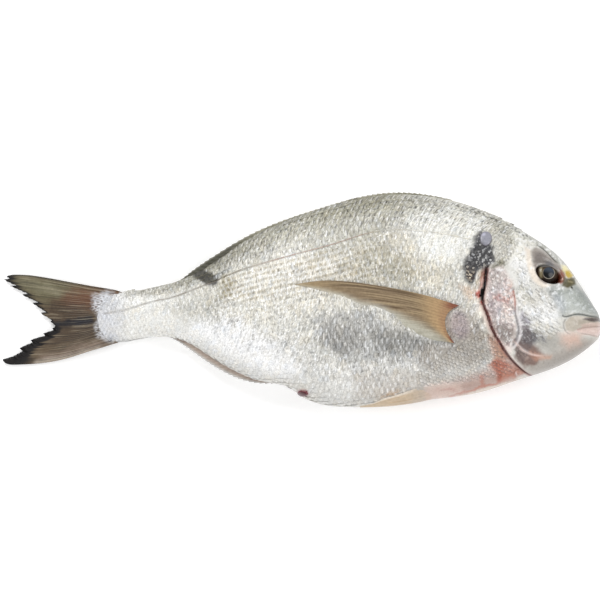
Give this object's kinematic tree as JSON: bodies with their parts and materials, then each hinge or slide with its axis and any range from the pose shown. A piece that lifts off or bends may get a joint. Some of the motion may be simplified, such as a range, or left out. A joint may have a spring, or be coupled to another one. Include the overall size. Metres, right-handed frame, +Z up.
{
  "type": "whole raw fish",
  "caption": "Whole raw sea bream lying on its left flank, uncut, with deep silvery body, gill cover, eye, folded back and belly fins and a forked tail fin.",
  "frame": {"origin": "on the table, under the middle of the fish's length and height as it lies", "axes": "+X from tail to snout, +Y from belly to back, +Z up from the left flank, which lies on the table, to the right flank"},
  "size_m": [0.2992, 0.1092, 0.0389],
  "materials": {
    "silver_skin": "wet scaled skin, pale silver-grey with an olive back and a cream belly",
    "dark_fin": "wet rayed fin, olive-brown with dark edges",
    "tan_fin": "wet rayed fin, translucent amber-brown",
    "pale_fin": "wet rayed fin, pale pink-beige",
    "eye_black": "wet eyeball with a dark pupil"
  },
  "bodies": {
    "root": {"body": "silver_skin", "tail_fin": "dark_fin", "dorsal_fin": "dark_fin", "anal_fin": "dark_fin", "pectoral_fin_right": "tan_fin", "pectoral_fin_left": "tan_fin", "pelvic_fin_right": "pale_fin", "pelvic_fin_left": "pale_fin", "eye_right": "eye_black", "eye_left": "eye_black"}
  },
  "joints": []
}
